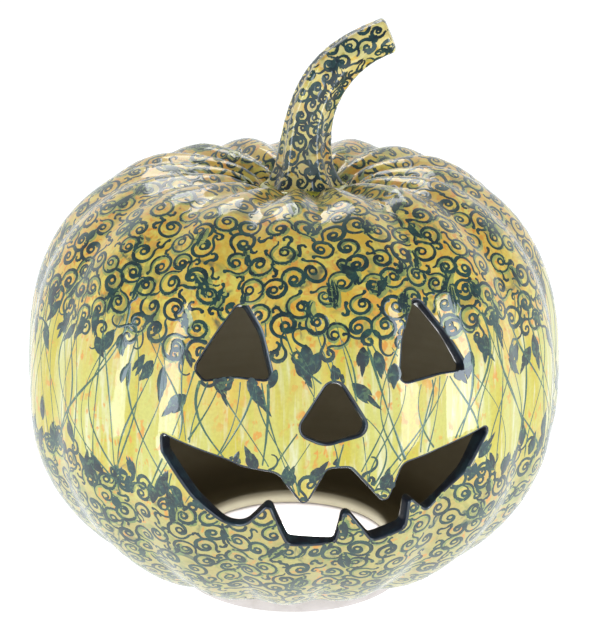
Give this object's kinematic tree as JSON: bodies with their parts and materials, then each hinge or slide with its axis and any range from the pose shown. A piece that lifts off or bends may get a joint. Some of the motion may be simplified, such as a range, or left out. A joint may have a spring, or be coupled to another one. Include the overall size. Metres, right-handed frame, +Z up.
{
  "type": "ceramic pumpkin figure",
  "caption": "Hollow glazed ceramic pumpkin with a carved jack-o'-lantern face, curved stem and open base, a cover for a small light.",
  "frame": {"origin": "centre of the foot ring, on the surface it stands on", "axes": "+Z up through the body, the carved face looks along -Y, the stem curves towards +X"},
  "size_m": [0.2678, 0.2679, 0.2852],
  "materials": {
    "painted_glaze": "clear gloss glaze over hand painting: yellow and orange ground with dark teal scrolls, vines and leaves, navy on the cut edges, dark brown inside",
    "stem_glaze": "clear gloss glaze over dense dark teal scrolls on a yellow and orange ground",
    "collar_glaze": "clear gloss glaze over yellow green with dark hatching",
    "bare_foot": "bare pale grey stoneware, wiped clean of glaze, matt"
  },
  "bodies": {
    "root": {"shell": "painted_glaze", "stem": "stem_glaze", "stem_collar": "collar_glaze", "foot_ring": "bare_foot"}
  },
  "joints": []
}
